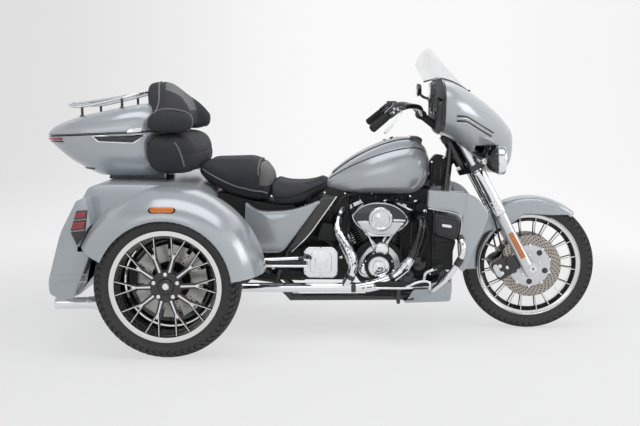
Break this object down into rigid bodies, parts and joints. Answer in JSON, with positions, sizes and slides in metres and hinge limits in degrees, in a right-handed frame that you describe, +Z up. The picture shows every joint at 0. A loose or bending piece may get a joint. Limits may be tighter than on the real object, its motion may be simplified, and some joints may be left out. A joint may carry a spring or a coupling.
{
  "type": "motorized trike",
  "caption": "Touring motor trike with a steered front wheel, wide rear wheels, a V-twin engine, a fork fairing, a two-up seat, a hollow trunk and a hinged top case.",
  "frame": {"origin": "middle of the length and width, on the ground", "axes": "+X forward, +Y to the rider's left, +Z up"},
  "size_m": [2.634, 1.39, 1.366],
  "materials": {
    "paint": "gloss",
    "black_steel": "satin",
    "black_casting": "satin",
    "chrome": "polished",
    "alloy": "machined",
    "disc_steel": "brushed",
    "vinyl": "matte",
    "black_plastic": "matte",
    "black_gloss": "gloss",
    "rubber": "matte",
    "tyre": "matte",
    "red_lens": "gloss",
    "clear_screen": "clear"
  },
  "bodies": {
    "chassis": {"frame": "black_steel", "engine_case": "black_casting", "cylinders": "black_casting", "air_cleaner": "black_casting", "gearbox": "black_casting", "primary_cover": "chrome", "exhaust_pipes": "chrome", "mufflers": "chrome", "fuel_tank": "paint", "tank_console": "black_gloss", "rider_seat": "vinyl", "pillion_seat": "vinyl", "seat_base": "black_plastic", "side_covers": "paint", "lower_fairings": "paint", "glove_boxes": "black_plastic", "engine_guard": "chrome", "chin_spoiler": "paint", "oil_cooler": "black_casting", "floorboards": "black_steel", "rear_axle": "black_steel", "trunk": "paint", "rear_fenders": "paint", "tail_lights": "red_lens", "top_case": "paint", "lower_back_pad": "vinyl"},
    "steered_front": {"fork_yokes": "black_steel", "fork_legs": "alloy", "front_calipers": "black_casting", "front_fender": "paint", "handlebar": "black_steel", "grips": "rubber", "fairing": "paint", "inner_fairing": "black_plastic", "windscreen": "clear_screen", "lamps": "chrome", "mirrors": "black_gloss"},
    "front_wheel": {"front_tyre": "tyre", "front_rim": "alloy", "front_discs": "disc_steel"},
    "right_wheel": {"right_tyre": "tyre", "right_rim": "alloy", "right_disc": "disc_steel"},
    "left_wheel": {"left_tyre": "tyre", "left_rim": "alloy", "left_disc": "disc_steel"},
    "case_lid": {"top_case_lid": "paint", "upper_back_pad": "vinyl", "luggage_rack": "chrome"},
    "tailgate": {"trunk_door": "paint"},
    "filler_door": {"fuel_door": "black_gloss"}
  },
  "joints": [
    {"name": "steering", "type": "hinge", "parent": "chassis", "child": "steered_front", "pos_m": [0.95129, 0, 0.29047], "axis": [-0.4772, 0, 0.8788], "range_deg": [-34, 34]},
    {"name": "front_wheel_spin", "type": "hinge", "parent": "steered_front", "child": "front_wheel", "pos_m": [1.002, 0, 0.318], "axis": [0, 1, 0], "continuous": true},
    {"name": "right_wheel_spin", "type": "hinge", "parent": "chassis", "child": "right_wheel", "pos_m": [-0.668, -0.5645, 0.322], "axis": [0, 1, 0], "continuous": true},
    {"name": "left_wheel_spin", "type": "hinge", "parent": "chassis", "child": "left_wheel", "pos_m": [-0.668, 0.5645, 0.322], "axis": [0, 1, 0], "continuous": true},
    {"name": "case_lid_hinge", "type": "hinge", "parent": "chassis", "child": "case_lid", "pos_m": [-1.027, 0.317, 0.962], "axis": [-1, 0, 0], "range_deg": [0, 95]},
    {"name": "trunk_door_hinge", "type": "hinge", "parent": "chassis", "child": "tailgate", "pos_m": [-1.199, 0, 0.387], "axis": [0, -1, 0], "range_deg": [0, 105]},
    {"name": "fuel_door_hinge", "type": "hinge", "parent": "chassis", "child": "filler_door", "pos_m": [0.36046, 0, 0.94046], "axis": [0, 1, 0], "range_deg": [0, 100]}
  ]
}
